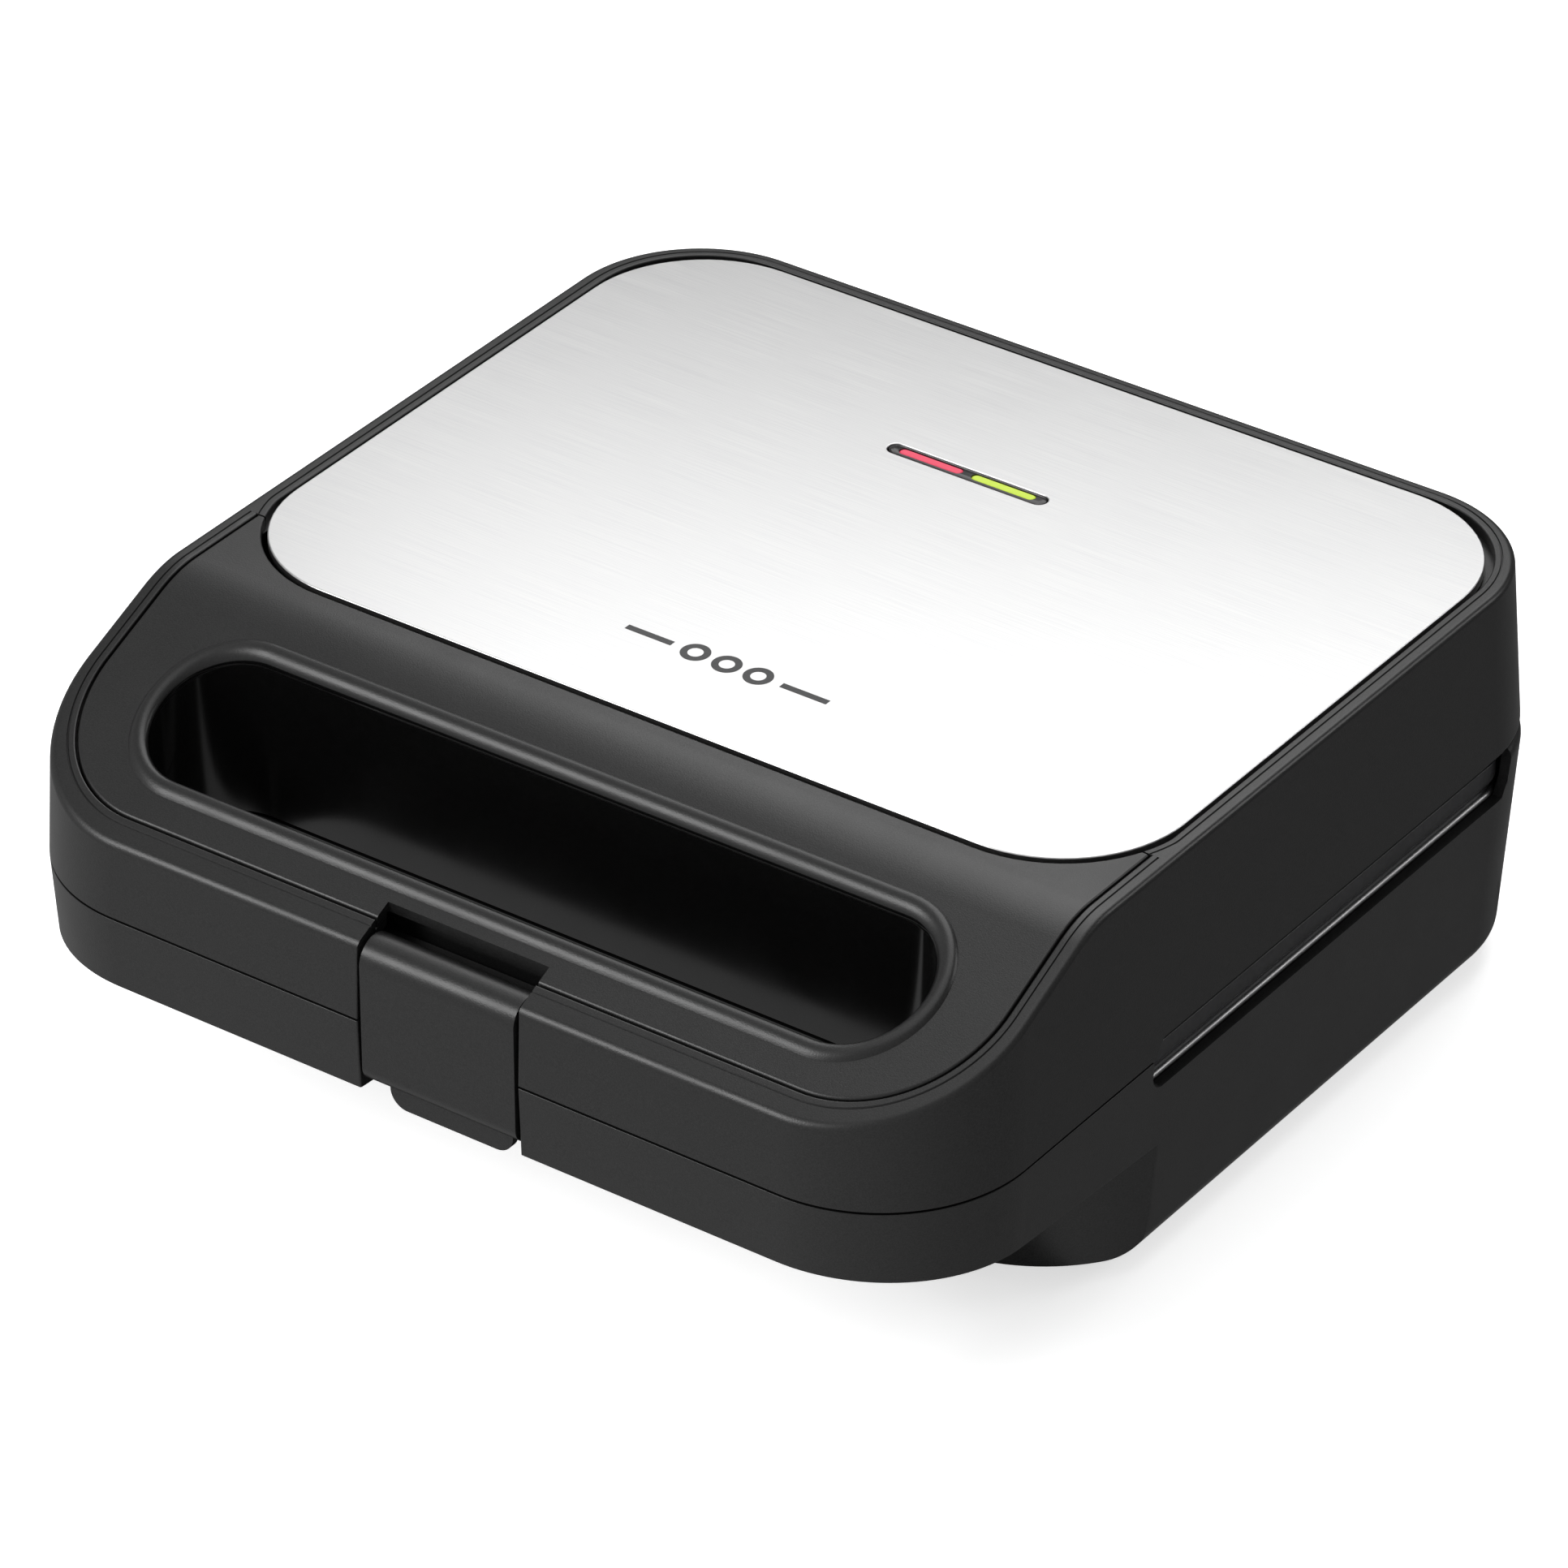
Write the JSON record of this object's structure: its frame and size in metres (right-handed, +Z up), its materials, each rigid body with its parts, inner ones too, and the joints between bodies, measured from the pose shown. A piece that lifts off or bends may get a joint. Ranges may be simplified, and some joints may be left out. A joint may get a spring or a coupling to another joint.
{
  "type": "donut maker",
  "caption": "Hinged electric donut maker with ring-shaped baking cavities, a grip opening in the handle, a swinging latch and a steel top panel.",
  "frame": {"origin": "floor level under the centre of the bounding box", "axes": "+Z up; the handle and latch face -Y; +X is the right side seen from the handle"},
  "size_m": [0.2246, 0.2428, 0.093],
  "materials": {
    "black_plastic": "finely textured matt black plastic",
    "brushed_steel": "finely brushed stainless steel",
    "smoked_lens": "clear smoked plastic",
    "red_lamp": "tinted lamp",
    "green_lamp": "tinted lamp",
    "coated_aluminium": "black non-stick coating",
    "plain_steel": "plain plated steel",
    "rubber": "soft black rubber",
    "ceramic": "unglazed off-white ceramic",
    "wire_sleeve": "woven heat-proof sleeve"
  },
  "bodies": {
    "base": {"lower_housing": "black_plastic", "lower_frame": "black_plastic", "lower_plate": "coated_aluminium", "lower_heater": "plain_steel", "lower_reflector": "plain_steel", "lower_plate_screw_1": "plain_steel", "lower_plate_screw_2": "plain_steel", "lower_plate_screw_3": "plain_steel", "lower_plate_screw_4": "plain_steel", "thermostat": "ceramic", "thermal_fuse": "plain_steel", "terminal_block": "ceramic", "lower_heater_lead": "wire_sleeve", "cord_bush": "rubber", "left_hinge_pin": "plain_steel", "right_hinge_pin": "plain_steel", "left_front_foot": "rubber", "left_rear_foot": "rubber", "right_front_foot": "rubber", "right_rear_foot": "rubber"},
    "lid": {"lid_housing": "black_plastic", "handle_cover": "black_plastic", "steel_panel": "brushed_steel", "indicator_lens": "smoked_lens", "power_lamp": "red_lamp", "ready_lamp": "green_lamp", "lamp_holder": "black_plastic", "upper_frame": "black_plastic", "upper_plate": "coated_aluminium", "upper_heater": "plain_steel", "upper_reflector": "plain_steel", "upper_plate_screw_1": "plain_steel", "upper_plate_screw_2": "plain_steel", "upper_plate_screw_3": "plain_steel", "upper_plate_screw_4": "plain_steel", "lamp_lead": "wire_sleeve", "latch_pin": "plain_steel"},
    "latch": {"latch": "black_plastic"}
  },
  "joints": [
    {"name": "lid_hinge", "type": "hinge", "parent": "base", "child": "lid", "pos_m": [0, 0.1159, 0.048], "axis": [-1, 0, 0], "range_deg": [0, 100]},
    {"name": "latch_pivot", "type": "hinge", "parent": "lid", "child": "latch", "pos_m": [0, -0.1163, 0.0635], "axis": [-1, 0, 0], "range_deg": [0, 75]}
  ]
}
